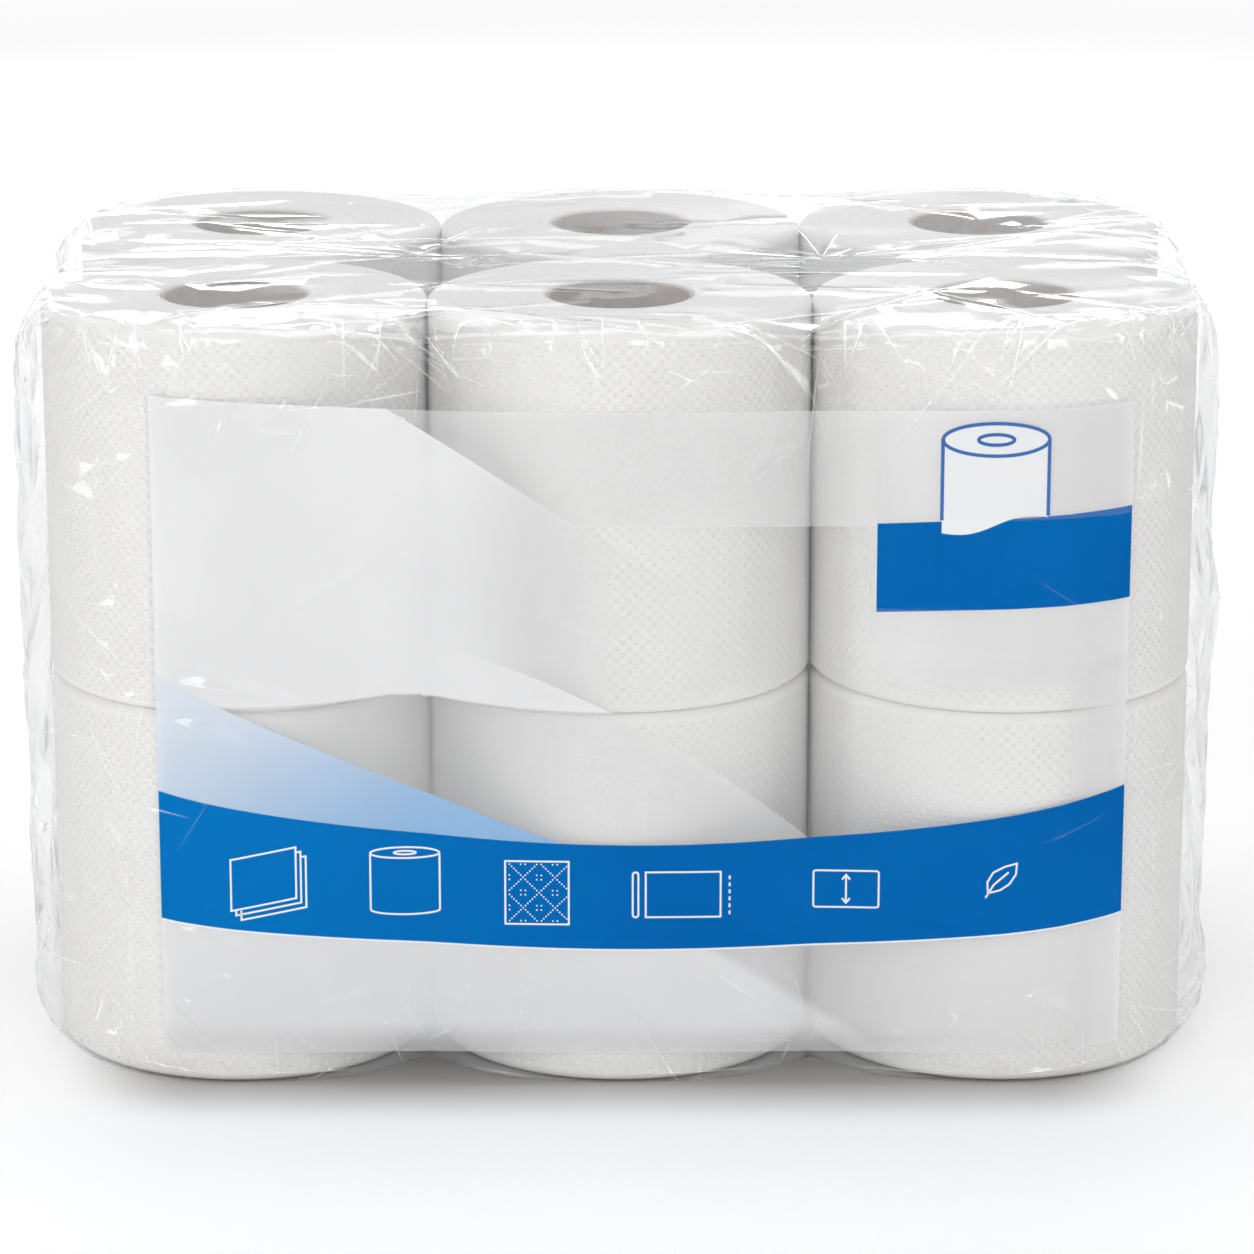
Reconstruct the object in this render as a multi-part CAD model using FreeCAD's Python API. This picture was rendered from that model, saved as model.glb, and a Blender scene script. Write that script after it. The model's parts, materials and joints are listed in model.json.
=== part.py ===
import FreeCAD, Part
import math
import os

# A pack of toilet paper rolls: rolls stand side by side in two layers, each on its own
# cardboard core, and are sealed in one thin clear film that has print on its front.
# Millimetres. +X runs along the front to the right, +Y to the back and +Z up.
# The origin is the middle of the surface that the pack stands on.

V = FreeCAD.Vector

# Rolls
roll_height = 95.0  # width of the paper
roll_diameter = 95.0
roll_edge = 2.5  # rounding of the paper's rims
roll_gap = 0.3  # between neighbours
columns = 3
rows = 2
layers = 2

# Turns of paper that show on a roll's two ends, as shallow ring grooves
turn_grooves = 6
turn_groove_width = 0.5
turn_groove_depth = 0.35

# Cardboard core
core_diameter = 37.0  # outside
core_wall = 1.2
core_gap = 0.1  # between cardboard and paper
core_setback = 0.4  # how far its ends lie below the paper's

# Film
film_wall = 0.3
film_gap = 0.3  # least distance from the rolls' sides
film_lid_gap = 0.4  # above the upper rolls
film_shoulder = 9.0  # height over which the loose ends come in to the rims
film_end_slack = 2.4  # how far the two ends stand off, before their folds

# Sag of the film where it spans a space between rolls
side_sag = 2.0
lid_sag = 2.2
foot_arch = 10.0  # how far back the foot's edge is drawn between two rolls
foot_lift = 3.0  # and how much higher the side ends there

# Folds of the film, which all stand outwards from the taut shape
fold_end = 2.8
fold_lid = 1.0
fold_back = 1.3
gusset_fold = 1.0  # overlapped corners of the end panels
weld_fold = 0.8  # seam across each end panel
fold_drift = 0.16  # how far a crease wanders, in cells
long_folds = 2  # cells that one fold of the lid runs along

# Facets of the film, in cells; an even count puts a crease on every seam
cells_per_pitch = 6
cells_per_corner = 6
cells_high = 10

# Print on the front
print_thickness = 0.1
print_gap = 0.05  # under each layer of print
panel_left_margin = 25.0  # from the outside of the rolls
panel_right_margin = 21.0
panel_top_margin = 20.0
panel_foot_margin = 9.5
band_width = 32.0  # at the panel's left edge
band_middle_width = 27.0
band_height = 34.5  # of the band's lower edge above the panel's foot, at both ends
band_sag = 8.5  # how far its lower edge hangs in the middle
banner_length = 61.0
banner_width = 22.5
banner_drop = 47.5  # from the panel's top to the banner's lower edge, at the right
banner_slope = 3.5  # how much lower its left end is
sweep_height = 28.0  # of the tinted field above the band, at the panel's left edge
sweep_length = 99.0
sweep_bow = 2.0

roll_radius = roll_diameter / 2
pitch = roll_diameter + roll_gap
half_length = pitch * (columns - 1) / 2
half_depth = pitch * (rows - 1) / 2
inner_top = film_wall + layers * roll_height + film_lid_gap

# Creases stand further off than the flat facets between them, which cut each corner
corner_turn = math.radians(90.0 / cells_per_corner)
widest_turn = corner_turn * (1 + 2 * fold_drift)
crease_stand = (roll_radius + film_gap) / math.cos(widest_turn / 2) - roll_radius


def label(names, index, word):
    return names[index] if index < len(names) else "%s%d" % (word, index + 1)


def places():
    """Name and foot of every roll."""
    for layer in range(layers):
        for row in range(rows):
            for column in range(columns):
                name = "_".join([label(["front", "back"], row, "row"),
                                 label(["left", "middle", "right"], column, "column"),
                                 label(["bottom", "top"], layer, "layer")])
                yield name, V(column * pitch - half_length, row * pitch - half_depth,
                              film_wall + layer * roll_height)


def roll():
    """Paper wound round its core: one solid with rounded rims and ringed ends."""
    bore = core_diameter / 2 + core_gap
    paper = Part.makeCylinder(roll_radius, roll_height)
    rims = [edge for edge in paper.Edges if isinstance(edge.Curve, Part.Circle)]
    paper = paper.makeFillet(roll_edge, rims)
    step = (roll_radius - roll_edge - bore) / (turn_grooves + 1)
    cutters = [Part.makeCylinder(bore, roll_height)]
    for i in range(turn_grooves):
        inside = bore + step * (i + 1) - turn_groove_width / 2
        for z in (-turn_groove_depth, roll_height - turn_groove_depth):
            ring = Part.makeCylinder(inside + turn_groove_width, 2 * turn_groove_depth, V(0, 0, z))
            cutters.append(ring.cut(Part.makeCylinder(inside, 2 * turn_groove_depth, V(0, 0, z))))
    return paper.cut(cutters)


def core():
    length = roll_height - 2 * core_setback
    tube = Part.makeCylinder(core_diameter / 2, length, V(0, 0, core_setback))
    return tube.cut(Part.makeCylinder(core_diameter / 2 - core_wall, roll_height))


# The film's columns go round the plan outline, corner by corner, from the front left one.
# A side has as many cells as its straight stretch and two half corners.

cells_x = (columns - 1) * cells_per_pitch + cells_per_corner
cells_y = (rows - 1) * cells_per_pitch + cells_per_corner
ring_cells = 2 * (cells_x + cells_y)
FRONT, RIGHT, BACK, LEFT = range(4)
ways = [V(1, 0, 0), V(0, 1, 0), V(-1, 0, 0), V(0, -1, 0)]  # along each side
facings = [V(0, -1, 0), V(1, 0, 0), V(0, 1, 0), V(-1, 0, 0)]


def side_of(cell):
    """Which side a place on the ring is on, and how many cells along it."""
    cell = cell % ring_cells
    side = FRONT
    while cell >= (cells_x, cells_y)[side % 2]:
        cell -= (cells_x, cells_y)[side % 2]
        side += 1
    return side, cell


def spanned(distance):
    """From 0 on a roll's side to 1 half way between two rolls, at a distance along the side."""
    near = math.hypot(distance, roll_radius) - roll_radius
    return near / (math.hypot(pitch / 2, roll_radius) - roll_radius)


def column_of(cell):
    """The side, the outward angle, the roll centre that it turns round and the share of sag
    of a place on the ring."""
    side, cell = side_of(cell)
    straight = (cells_x, cells_y)[side % 2] - cells_per_corner
    half = (half_length, half_depth)[side % 2]
    off = (half_depth, half_length)[side % 2]
    place = min(max(cell - cells_per_corner // 2, 0), straight)
    turned = (cell - cells_per_corner // 2 - place) * corner_turn
    distance = place * 2 * half / max(straight, 1)
    centre = ways[side] * (distance - half) + facings[side] * off
    beyond = distance % pitch
    sag = spanned(min(beyond, pitch - beyond)) if 0 < place < straight else 0.0
    return side, math.radians(-90 + 90 * side) + turned, centre, sag


def outline(cell, stand, slack):
    """A point of the plan outline, standing off the rolls, and off by slack more at the ends."""
    side, angle, centre, sag = column_of(cell)
    radius = roll_radius + stand
    rim = V(math.cos(angle) * (radius + slack), math.sin(angle) * radius, 0)
    return centre + rim - facings[side] * (side_sag * sag)


def scatter(*key):
    """A fixed value from 0 to 1 that looks random."""
    mixed = math.sin(sum(k * w for k, w in zip(key, (12.9898, 78.233, 37.719)))) * 43758.5453
    return mixed - math.floor(mixed)


def drift(*key):
    return fold_drift * (2 * scatter(*key) - 1)


def side_levels():
    """Heights of the rows between the two shoulders."""
    body = inner_top - 2 * film_shoulder
    return [film_shoulder + body * i / cells_high for i in range(cells_high + 1)]


def end_fold(cell, row, angle):
    """Folds of an end panel: loose creases, the gusset's diagonals and the seam across."""
    along = (cell - cells_x) % (cells_x + cells_y)
    high = row / cells_high * cells_y
    height = fold_end * scatter(cell, row, 1)
    if min(abs(along - high), abs(cells_y - along - high)) <= 0.5:
        height += gusset_fold
    if row == cells_high // 2 and abs(along - cells_y / 2) < cells_per_pitch / 2:
        height += weld_fold
    endwise = (abs(math.cos(angle)) - math.cos(math.pi / 4)) / (1 - math.cos(math.pi / 4))
    return height * min(1.0, 0.3 + max(0.0, endwise))


def side_row(row, height, offset):
    """One ring of creases round the sides. The front is left plain for its print."""
    points = []
    body_row = 0 < row < cells_high
    for cell in range(ring_cells):
        angle = column_of(cell)[1]
        endwise = abs(math.cos(angle)) > math.cos(math.pi / 4)
        backwards = math.sin(angle) > math.cos(math.pi / 4)
        wanders = body_row and (endwise or backwards)
        at_cell = cell + (drift(cell, row, 3) if wanders else 0.0)
        point = outline(at_cell, crease_stand + offset, film_end_slack)
        out, rise = 0.0, 0.0
        if endwise:
            out = end_fold(cell, row, angle)
        elif backwards:
            out = fold_back * scatter(cell, row, 2)
        if wanders:
            rise = drift(cell, row, 4) * film_shoulder
        points.append(point + V(math.cos(angle) * out, math.sin(angle) * out, height + rise))
    return points


def rim_leg(offset):
    """Legs of the narrow bevel that the film makes round the rolls' rounded rims."""
    return (roll_edge + film_gap + offset) * (1 - math.tan(math.pi / 8))


def lid_rim(offset):
    """The two rings of the bevel under the lid, which sags between the rolls."""
    top, leg = inner_top + offset, rim_leg(offset)
    outer, inner = [], []
    for cell in range(ring_cells):
        sag = column_of(cell)[3] * lid_sag
        outer.append(outline(cell, crease_stand + offset, 0.0) + V(0, 0, top - leg - sag))
        inner.append(outline(cell, crease_stand + offset - leg, 0.0) + V(0, 0, top - sag))
    return outer, inner


def foot_rim(offset):
    """The two rings of the bevel over the floor, which is drawn back between the rolls."""
    bottom, leg = film_wall - offset, rim_leg(offset)
    outer, inner = [], []
    for cell in range(ring_cells):
        side, angle, centre, sag = column_of(cell)
        lift = leg + foot_lift * sag ** 2
        outer.append(outline(cell, crease_stand + offset, 0.0) + V(0, 0, bottom + lift))
        edge = outline(cell, crease_stand + offset - leg, 0.0) - facings[side] * (foot_arch * sag ** 2)
        inner.append(edge + V(0, 0, bottom))
    return outer, inner


def between_rolls(point):
    """From 0 over a roll to 1 in the middle of the space between four."""
    x = (point.x + half_length) % pitch
    y = (point.y + half_depth) % pitch
    reach = math.hypot(min(x, pitch - x), min(y, pitch - y))
    return max(0.0, (reach - roll_radius) / (pitch / math.sqrt(2) - roll_radius))


def cap(edge, height, folded):
    """The lid or the floor: a grid stretched inside its edge ring, as {(i, j): point}."""
    grid = {}
    for i in range(cells_x + 1):
        grid[i, 0] = edge[i]
        grid[i, cells_y] = edge[(2 * cells_x + cells_y - i) % ring_cells]
    for j in range(cells_y + 1):
        grid[cells_x, j] = edge[cells_x + j]
        grid[0, j] = edge[(ring_cells - j) % ring_cells]
    for i in range(1, cells_x):
        for j in range(1, cells_y):
            u = (i + (drift(i, j, 5) if folded else 0.0)) / cells_x
            v = (j + (drift(i, j, 6) if folded else 0.0)) / cells_y
            lengthwise = grid[0, j] * (1 - u) + grid[cells_x, j] * u
            across = grid[i, 0] * (1 - v) + grid[i, cells_y] * v
            corners = (grid[0, 0] * (1 - u) * (1 - v) + grid[cells_x, 0] * u * (1 - v)
                       + grid[0, cells_y] * (1 - u) * v + grid[cells_x, cells_y] * u * v)
            point = lengthwise + across - corners
            lift = 0.0
            if folded:
                lift = fold_lid * scatter(i // long_folds, j, 7) - lid_sag * between_rolls(point)
            grid[i, j] = V(point.x, point.y, height + lift)
    return grid


def cap_index(i, j, start, points, point):
    """Number of a cap's point: one of its edge ring's, or a new one."""
    if j == 0:
        return start + i
    if i == cells_x:
        return start + cells_x + j
    if j == cells_y:
        return start + 2 * cells_x + cells_y - i
    if i == 0:
        return start + ring_cells - j
    points.append(point)
    return len(points) - 1


def skin(offset):
    """A closed shape of flat facets, offset outwards from the film's inner face."""
    bottom, top = film_wall - offset, inner_top + offset
    foot_outer, foot_inner = foot_rim(offset)
    lid_outer, lid_inner = lid_rim(offset)
    rings = [foot_inner, foot_outer]
    rings += [side_row(i, z, offset) for i, z in enumerate(side_levels())]
    rings += [lid_outer, lid_inner]
    points = [point for ring in rings for point in ring]
    facets = []

    def quad(a, b, c, d, turned):
        facets.extend([(a, b, c), (a, c, d)] if turned else [(a, b, d), (b, c, d)])

    for r in range(len(rings) - 1):
        for c in range(ring_cells):
            a = r * ring_cells + c
            b = r * ring_cells + (c + 1) % ring_cells
            quad(a, b, b + ring_cells, a + ring_cells, (r + c) % 2 == 0)
    for ring, height, folded in ((0, bottom, False), (len(rings) - 1, top, True)):
        grid = cap(rings[ring], height, folded)
        index = {k: cap_index(*k, ring * ring_cells, points, p) for k, p in sorted(grid.items())}
        for i in range(cells_x):
            for j in range(cells_y):
                a, b, c, d = index[i, j], index[i + 1, j], index[i + 1, j + 1], index[i, j + 1]
                if folded:
                    quad(a, b, c, d, (i + j) % 2 == 0)
                else:
                    quad(a, d, c, b, (i + j) % 2 == 0)
    shape = Part.Shape()
    shape.makeShapeFromMesh((points, facets), film_wall / 100)
    return Part.Solid(shape)


def film():
    """The sealed film: a thin closed wall round all the rolls."""
    return skin(film_wall).cut(skin(0.0))


# Print: thin fields of colour that lie on the film's front and wrap its two front corners

panel_left = -half_length - roll_radius + panel_left_margin
panel_right = half_length + roll_radius - panel_right_margin
panel_foot = film_wall + panel_foot_margin
panel_top = inner_top - panel_top_margin


def front_block(stand):
    """A block as high as the pack whose front lies at a distance off the rolls."""
    first, last = -(cells_per_corner // 2), cells_x + cells_per_corner // 2
    front = [outline(cell, crease_stand + stand, film_end_slack) for cell in range(first, last + 1)]
    plan = front + [V(front[-1].x, half_depth, 0), V(front[0].x, half_depth, 0), front[0]]
    return Part.Face(Part.makePolygon(plan)).extrude(V(0, 0, inner_top))


def field(edges, layer):
    """A field of print with these edges, drawn in the plane of X and Z through the middle."""
    near = film_wall + print_gap + layer * (print_thickness + print_gap)
    sheet = front_block(near + print_thickness).cut(front_block(near))
    drawn = Part.Face(Part.Wire(Part.sortEdges(edges)[0]))
    drawn.translate(V(0, -half_depth, 0))
    return sheet.common(drawn.extrude(V(0, -2 * roll_diameter, 0)))


def loop(*corners):
    """Straight edges round the corners, which are pairs of X and Z."""
    turned = corners[1:] + corners[:1]
    return [Part.makeLine(V(a[0], 0, a[1]), V(b[0], 0, b[1])) for a, b in zip(corners, turned)]


def bow(a, b, sag):
    """An arc between two pairs of X and Z that hangs by sag below their middle."""
    middle = V((a[0] + b[0]) / 2, 0, (a[1] + b[1]) / 2 - sag)
    return Part.Arc(V(a[0], 0, a[1]), middle, V(b[0], 0, b[1])).toShape()


def straight(a, b):
    return Part.makeLine(V(a[0], 0, a[1]), V(b[0], 0, b[1]))


band_foot = panel_foot + band_height
band_top = band_foot + band_width
band_top_sag = band_sag + band_width - band_middle_width


def print_panel():
    return field(loop((panel_left, panel_foot), (panel_right, panel_foot),
                      (panel_right, panel_top), (panel_left, panel_top)), 0)


def print_band():
    low = (panel_left, band_foot), (panel_right, band_foot)
    high = (panel_left, band_top), (panel_right, band_top)
    return field([bow(*low, band_sag), bow(*high, band_top_sag),
                  straight(low[0], high[0]), straight(low[1], high[1])], 1)


def print_sweep():
    """A tinted field that starts on the panel's left edge and narrows to a point on the band."""
    rim = bow((panel_left, band_top + print_gap), (panel_right, band_top + print_gap), band_top_sag)
    circle = rim.Curve
    heights = []
    for x in (panel_left, panel_left + sweep_length / 2, panel_left + sweep_length):
        drop = math.sqrt(circle.Radius ** 2 - (x - circle.Center.x) ** 2)
        heights.append(V(x, 0, circle.Center.z - drop))
    foot, middle, tip = heights
    head = foot + V(0, 0, sweep_height)
    return field([Part.Arc(foot, middle, tip).toShape(), Part.makeLine(foot, head),
                  bow((head.x, head.z), (tip.x, tip.z), sweep_bow)], 1)


def print_banner():
    right_foot = panel_top - banner_drop
    left_foot = right_foot - banner_slope
    left = panel_right - banner_length
    return field(loop((left, left_foot), (panel_right, right_foot),
                      (panel_right, right_foot + banner_width), (left, left_foot + banner_width)), 1)


def pack():
    """Every piece by name, with the middle of the foot at the origin."""
    pieces = {}
    paper, tube = roll(), core()
    for name, foot in places():
        pieces["roll_" + name] = paper.translated(foot)
        pieces["core_" + name] = tube.translated(foot)
    pieces["film_wrap"] = film()
    pieces["print_panel"] = print_panel()
    pieces["print_band"] = print_band()
    pieces["print_sweep"] = print_sweep()
    pieces["print_banner"] = print_banner()
    box = FreeCAD.BoundBox()
    for name in ("film_wrap", "print_panel", "print_band"):
        box.add(pieces[name].optimalBoundingBox(False, False))
    to_middle = V(-box.Center.x, -box.Center.y, -box.ZMin)
    for shape in pieces.values():
        shape.translate(to_middle)
    return pieces


os.makedirs("parts", exist_ok=True)
for node, shape in pack().items():
    print(node, "valid" if shape.isValid() else "NOT VALID", len(shape.Solids), "solid",
          round(shape.Volume, 1), "mm3")
    shape.exportStep("parts/%s.step" % node)
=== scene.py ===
import json
import math

import bpy
import numpy as np
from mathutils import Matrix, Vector
from mathutils.bvhtree import BVHTree
from mathutils.geometry import delaunay_2d_cdt

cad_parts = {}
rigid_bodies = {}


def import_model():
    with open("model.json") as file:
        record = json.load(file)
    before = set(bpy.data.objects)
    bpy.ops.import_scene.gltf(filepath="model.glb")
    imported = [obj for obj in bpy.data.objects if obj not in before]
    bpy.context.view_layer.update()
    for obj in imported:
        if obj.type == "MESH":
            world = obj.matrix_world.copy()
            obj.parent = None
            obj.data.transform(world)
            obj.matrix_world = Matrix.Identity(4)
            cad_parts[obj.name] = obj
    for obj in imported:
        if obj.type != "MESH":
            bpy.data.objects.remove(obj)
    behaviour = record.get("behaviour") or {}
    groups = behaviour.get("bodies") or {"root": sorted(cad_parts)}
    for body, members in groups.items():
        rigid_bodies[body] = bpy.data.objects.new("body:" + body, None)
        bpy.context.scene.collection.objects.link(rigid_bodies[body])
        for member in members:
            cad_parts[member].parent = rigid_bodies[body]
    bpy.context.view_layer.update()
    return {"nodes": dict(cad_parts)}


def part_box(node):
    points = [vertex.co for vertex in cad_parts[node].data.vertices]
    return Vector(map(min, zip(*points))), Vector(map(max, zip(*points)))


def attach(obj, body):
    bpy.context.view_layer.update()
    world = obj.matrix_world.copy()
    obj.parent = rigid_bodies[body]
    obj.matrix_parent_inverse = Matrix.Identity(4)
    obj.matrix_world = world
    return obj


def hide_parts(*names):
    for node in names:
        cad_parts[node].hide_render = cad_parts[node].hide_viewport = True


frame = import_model()
bpy.context.scene.view_settings.view_transform = "Standard"
chance = np.random.default_rng(12)


# Shader sums written as plain expressions

class Signal:
    def __init__(self, finish, socket):
        self.finish, self.socket = finish, socket

    def sum(self, operation, *values):
        return self.finish.add("ShaderNodeMath", {"operation": operation}, values)

    def __add__(self, other): return self.sum("ADD", self, other)
    def __radd__(self, other): return self.sum("ADD", other, self)
    def __sub__(self, other): return self.sum("SUBTRACT", self, other)
    def __rsub__(self, other): return self.sum("SUBTRACT", other, self)
    def __mul__(self, other): return self.sum("MULTIPLY", self, other)
    def __rmul__(self, other): return self.sum("MULTIPLY", other, self)
    def __truediv__(self, other): return self.sum("DIVIDE", self, other)
    def __abs__(self): return self.sum("ABSOLUTE", self)
    def lesser(self, other): return self.sum("MINIMUM", self, other)
    def larger(self, other): return self.sum("MAXIMUM", self, other)
    def over(self, other): return self.sum("GREATER_THAN", self, other)
    def under(self, other): return self.sum("LESS_THAN", self, other)
    def root(self): return self.sum("SQRT", self)
    def part(self): return self.sum("FRACT", self)

    def rise(self, low, high, top=1.0):  # 0 below low, top above high
        return self.finish.add("ShaderNodeMapRange", {"interpolation_type": "SMOOTHSTEP", "clamp": True},
                               {"Value": self, "From Min": low, "From Max": high, "To Max": top})


class Finish:
    def __init__(self, name):
        self.material = bpy.data.materials.new(name)
        self.material.use_nodes = True
        self.tree = self.material.node_tree
        self.tree.nodes.clear()
        self.out = self.tree.nodes.new("ShaderNodeOutputMaterial")

    def add(self, kind, settings=None, values=(), output=0):
        node = self.tree.nodes.new(kind)
        for key, setting in (settings or {}).items():
            if key == "stops":
                ramp = node.color_ramp
                while len(ramp.elements) < len(setting):
                    ramp.elements.new(0.5)
                for element, (place, colour) in zip(ramp.elements, setting):
                    element.position, element.color = place, colour
            else:
                setattr(node, key, setting)
        pairs = values.items() if isinstance(values, dict) else enumerate(values)
        for key, value in pairs:
            if isinstance(value, Signal):
                self.tree.links.new(value.socket, node.inputs[key])
            else:
                node.inputs[key].default_value = value
        return Signal(self, node.outputs[output])

    def place(self):
        return self.add("ShaderNodeTexCoord", output="Object")

    def split(self, vector):
        node = self.add("ShaderNodeSeparateXYZ", values=[vector]).socket.node
        return [Signal(self, out) for out in node.outputs]

    def stretched(self, vector, scale):
        return self.add("ShaderNodeMapping", {"vector_type": "POINT"}, {"Vector": vector, "Scale": scale})

    def noise(self, vector, scale, detail, rough):
        return self.add("ShaderNodeTexNoise", {"noise_dimensions": "3D"},
                        {"Vector": vector, "Scale": scale, "Detail": detail, "Roughness": rough}, output="Fac")

    def blend(self, share, first, second):
        node = self.tree.nodes.new("ShaderNodeMix")
        node.data_type = "RGBA"
        for key, value in (("Factor", share), ("A", first), ("B", second)):
            socket = [s for s in node.inputs if s.name == key and s.enabled][0]
            if isinstance(value, Signal):
                self.tree.links.new(value.socket, socket)
            else:
                socket.default_value = value
        return Signal(self, [s for s in node.outputs if s.enabled][0])

    def bump(self, height, distance, strength):
        return self.add("ShaderNodeBump", values={"Height": height, "Distance": distance, "Strength": strength})

    def mixed(self, share, first, second):
        return self.add("ShaderNodeMixShader", values=[share, first, second])

    def skin(self, colour, rough, specular, normal=None):
        values = {"Base Color": colour, "Roughness": rough, "Specular IOR Level": specular}
        if normal:
            values["Normal"] = normal
        return self.add("ShaderNodeBsdfPrincipled", values=values)

    def bare(self):
        return self.add("ShaderNodeBsdfTransparent", values={"Color": grey(1.0)})

    def rays(self, *kinds):
        path = self.add("ShaderNodeLightPath").socket.node
        return [Signal(self, path.outputs[kind]) for kind in kinds]

    def kept(self, name, output):
        return self.add("ShaderNodeAttribute", {"attribute_name": name}, output=output)

    def show(self, shader):
        self.tree.links.new(shader.socket, self.out.inputs["Surface"])
        return self.material


def grey(value):
    return (value, value, value, 1)


# Picking and edit-mode helpers

def pickOnly(piece):
    bpy.ops.object.select_all(action="DESELECT")
    piece.select_set(True)
    bpy.context.view_layer.objects.active = piece


def startEdit(): bpy.ops.object.mode_set(mode="EDIT")


def endEdit(): bpy.ops.object.mode_set(mode="OBJECT")


def edgeEnds(mesh):
    ends = np.empty(len(mesh.edges) * 2, int)
    mesh.edges.foreach_get("vertices", ends)
    return ends.reshape(-1, 2)


# wanted tells from the places of each edge's two ends whether the edge is picked
def pickEdges(piece, wanted):
    mesh = piece.data
    ends = edgeEnds(mesh)
    picked = wanted(points(piece)[ends])
    bpy.context.tool_settings.mesh_select_mode = (False, True, False)
    mesh.polygons.foreach_set("select", np.zeros(len(mesh.polygons), bool))
    mesh.edges.foreach_set("select", picked)
    onVertex = np.zeros(len(mesh.vertices), bool)
    onVertex[ends[picked].ravel()] = True
    mesh.vertices.foreach_set("select", onVertex)


def radii(place):
    return np.hypot(place[..., 0], place[..., 1])


# Picks the level ring at a height, outside a radius
def ringAt(level, least=0.0):
    return lambda ends: ((np.abs(ends[..., 2] - level) < 1e-6) & (radii(ends) > least)).all(axis=1)


def copied(source, name):
    piece = bpy.data.objects.new(name, source.data.copy())
    bpy.context.collection.objects.link(piece)
    return piece


def points(piece):
    place = np.empty(len(piece.data.vertices) * 3)
    piece.data.vertices.foreach_get("co", place)
    return place.reshape(-1, 3)


def movePoints(piece, place):
    piece.data.vertices.foreach_set("co", np.ascontiguousarray(place, float).ravel())
    piece.data.update()


# Extrudes the picked loop along a profile of radius and height steps, in edit mode
def turnRing(profile):
    radius, height = profile[0]
    for nextRadius, nextHeight in profile[1:]:
        bpy.ops.mesh.extrude_region_move(TRANSFORM_OT_translate={"value": (0, 0, nextHeight - height)})
        bpy.ops.transform.resize(value=(nextRadius / radius, nextRadius / radius, 1), center_override=(0, 0, 0))
        radius, height = nextRadius, nextHeight


# Keeps each point's place from its own roll's foot, for patterns that go round the roll
def ownPlace(piece, foot):
    attribute = piece.data.attributes.new("ownPlace", "FLOAT_VECTOR", "POINT")
    attribute.data.foreach_set("vector", (points(piece) - np.array(foot)).ravel())


# Gives a piece its finish, hangs it on the root body, and hides the frame's parts it stands for
def dress(piece, finish, slot, *nodes):
    piece.data.materials.clear()
    piece.data.materials.append(finish)
    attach(piece, "root")
    if nodes:
        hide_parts(*nodes)


# An open upright tube, short at both ends by what is turned onto them
def openTube(columns, radius, height, short):
    bpy.ops.mesh.primitive_cylinder_add(vertices=columns, radius=radius, depth=height - 2 * short,
                                        end_fill_type="NOTHING", location=(0, 0, 0))
    piece = bpy.context.object
    movePoints(piece, points(piece) + np.array([0, 0, height / 2]))
    pickOnly(piece)
    return piece


# Joins the two rings round the bore, and turns all faces outwards
def closeBore(piece, bore, cuts=0):
    pickEdges(piece, lambda ends: (radii(ends) < bore + 1e-5).all(axis=1))
    startEdit()
    bpy.ops.mesh.bridge_edge_loops(number_cuts=cuts, smoothness=0)
    bpy.ops.mesh.select_all(action="SELECT")
    bpy.ops.mesh.normals_make_consistent(inside=False)
    endEdit()


# Paper: an embossed roll with its wound turns showing on one end

paperRoll = {
    "columns": 192, "rows": 60,  # cells of the embossing; every other one is a dot
    "dotRim": 0.00046, "dotDepth": 0.00056,
    "edge": 0.0025, "edgeSteps": 3,  # the rounded rim at each end
    "turns": 6, "turnStart": 0.6, "turnDepth": 0.00022, "turnWidth": 0.0007,
    "coreGap": 0.0001,
    "slack": 0.0004,  # how far a soft roll's side gives inwards
    "press": 0.00030,  # how far it swells where it meets the next roll
    "pressFocus": 24,  # the higher, the narrower the stretch that swells
    "radius": 0.0475, "stiffReach": 0.03, "softReach": 0.017,  # round the core it neither gives nor swells
}


def makePaper(radius, height, bore):
    spec = paperRoll
    edge = spec["edge"]
    piece = openTube(spec["columns"], radius, height, edge)
    pickEdges(piece, lambda ends: np.abs(ends[:, 0, 2] - ends[:, 1, 2]) > edge)
    startEdit()
    bpy.ops.mesh.subdivide(number_cuts=spec["rows"] - 1)
    endEdit()
    middle = np.array([p.center[:] for p in piece.data.polygons])
    column = np.round(np.arctan2(middle[:, 1], middle[:, 0]) / (2 * np.pi) * spec["columns"] - 0.5)
    row = np.floor((middle[:, 2] - edge) / (height - 2 * edge) * spec["rows"])
    bpy.context.tool_settings.mesh_select_mode = (False, False, True)
    piece.data.polygons.foreach_set("select", (column + row) % 2 == 0)
    startEdit()
    bpy.ops.mesh.inset(thickness=spec["dotRim"], depth=-spec["dotDepth"], use_individual=True)
    endEdit()
    arc = [(radius - edge + edge * math.cos(t), edge - edge * math.sin(t))
           for t in np.linspace(0, math.pi / 2, spec["edgeSteps"] + 1)]
    span, half = radius - edge - bore, spec["turnWidth"] / 2
    rings = list(arc)
    for i in range(spec["turns"]):
        ring = radius - edge - span * (i + spec["turnStart"]) / spec["turns"]
        rings += [(ring + half, 0), (ring, spec["turnDepth"]), (ring - half, 0)]
    head = [(r, height - z) for r, z in arc + [(bore, 0)]]
    for level, profile in ((edge, rings + [(bore, 0)]), (height - edge, head)):
        pickEdges(piece, ringAt(level, radius - 1e-5))
        startEdit()
        turnRing(profile)
        endEdit()
    closeBore(piece, bore)
    bpy.ops.object.shade_smooth()
    return piece


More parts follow.
